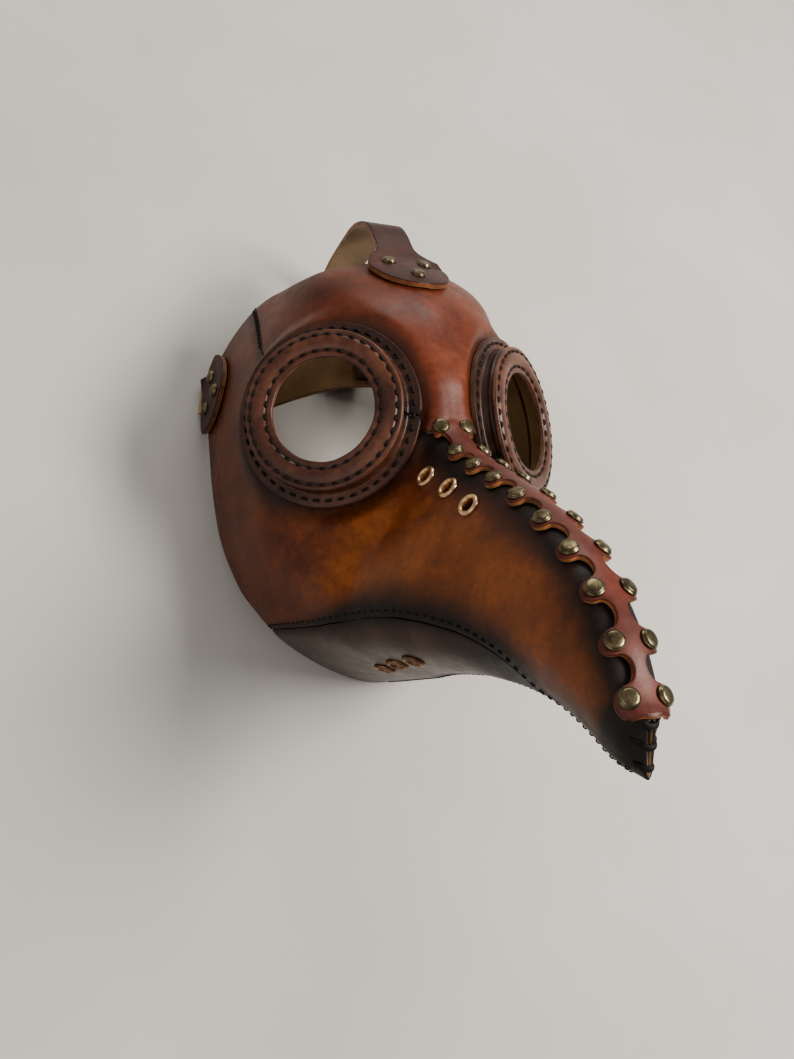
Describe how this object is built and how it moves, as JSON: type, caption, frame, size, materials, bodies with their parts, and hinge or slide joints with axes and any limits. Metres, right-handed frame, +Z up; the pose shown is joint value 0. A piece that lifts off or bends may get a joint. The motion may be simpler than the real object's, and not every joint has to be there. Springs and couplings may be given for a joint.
{
  "type": "leather plague doctor mask",
  "caption": "Leather beaked mask with round eye openings, a riveted ridge strip and head straps, lying loose on its rim.",
  "frame": {"origin": "on the floor that the loose mask lies on, under the middle of its bounding box", "axes": "+Z up from the floor, +X to the wearer's left, +Y from the chin to the top of the forehead, so the beak points up and to -Y"},
  "size_m": [0.176, 0.3302, 0.2228],
  "materials": {
    "forehead_leather": "satin, reddish brown vegetable-tanned leather",
    "side_leather": "satin, orange brown with near-black burnished edges",
    "lower_leather": "satin, dark grey brown",
    "eye_leather": "satin, brown with rubbed lighter edges and black stitches",
    "strap_leather": "satin, dark brown with tan cut edges",
    "antique_brass": "aged, olive brown with worn gold glints",
    "bright_brass": "polished, copper-gold",
    "dark_brass": "aged, dark bronze"
  },
  "bodies": {
    "root": {"crown_panel": "forehead_leather", "side_panel_right": "side_leather", "lower_panel_right": "lower_leather", "eye_band_right": "eye_leather", "eye_ring_right": "eye_leather", "beak_rivet_right_1": "antique_brass", "beak_rivet_right_2": "antique_brass", "beak_rivet_right_3": "antique_brass", "beak_rivet_right_4": "antique_brass", "beak_rivet_right_5": "antique_brass", "beak_rivet_right_6": "antique_brass", "beak_rivet_right_7": "antique_brass", "beak_rivet_right_8": "antique_brass", "beak_rivet_right_9": "antique_brass", "beak_rivet_right_10": "antique_brass", "beak_eyelet_right_1": "bright_brass", "chin_eyelet_right_1": "dark_brass", "side_tab_rivet_right_1": "antique_brass", "beak_eyelet_right_2": "bright_brass", "chin_eyelet_right_2": "dark_brass", "side_tab_rivet_right_2": "antique_brass", "beak_eyelet_right_3": "bright_brass", "chin_eyelet_right_3": "dark_brass", "side_tab_rivet_right_3": "antique_brass", "side_panel_left": "side_leather", "lower_panel_left": "lower_leather", "eye_band_left": "eye_leather", "eye_ring_left": "eye_leather", "beak_rivet_left_1": "antique_brass", "beak_rivet_left_2": "antique_brass", "beak_rivet_left_3": "antique_brass", "beak_rivet_left_4": "antique_brass", "beak_rivet_left_5": "antique_brass", "beak_rivet_left_6": "antique_brass", "beak_rivet_left_7": "antique_brass", "beak_rivet_left_8": "antique_brass", "beak_rivet_left_9": "antique_brass", "beak_rivet_left_10": "antique_brass", "beak_eyelet_left_1": "bright_brass", "chin_eyelet_left_1": "dark_brass", "side_tab_rivet_left_1": "antique_brass", "beak_eyelet_left_2": "bright_brass", "chin_eyelet_left_2": "dark_brass", "side_tab_rivet_left_2": "antique_brass", "beak_eyelet_left_3": "bright_brass", "chin_eyelet_left_3": "dark_brass", "side_tab_rivet_left_3": "antique_brass", "top_tab_rivet_1": "antique_brass", "top_tab_rivet_2": "antique_brass", "top_tab_rivet_3": "antique_brass", "band_rivet_1": "antique_brass", "band_rivet_2": "antique_brass", "top_strap": "strap_leather", "side_band": "strap_leather", "rear_strap": "strap_leather", "buckle_frame": "antique_brass"}
  },
  "joints": []
}
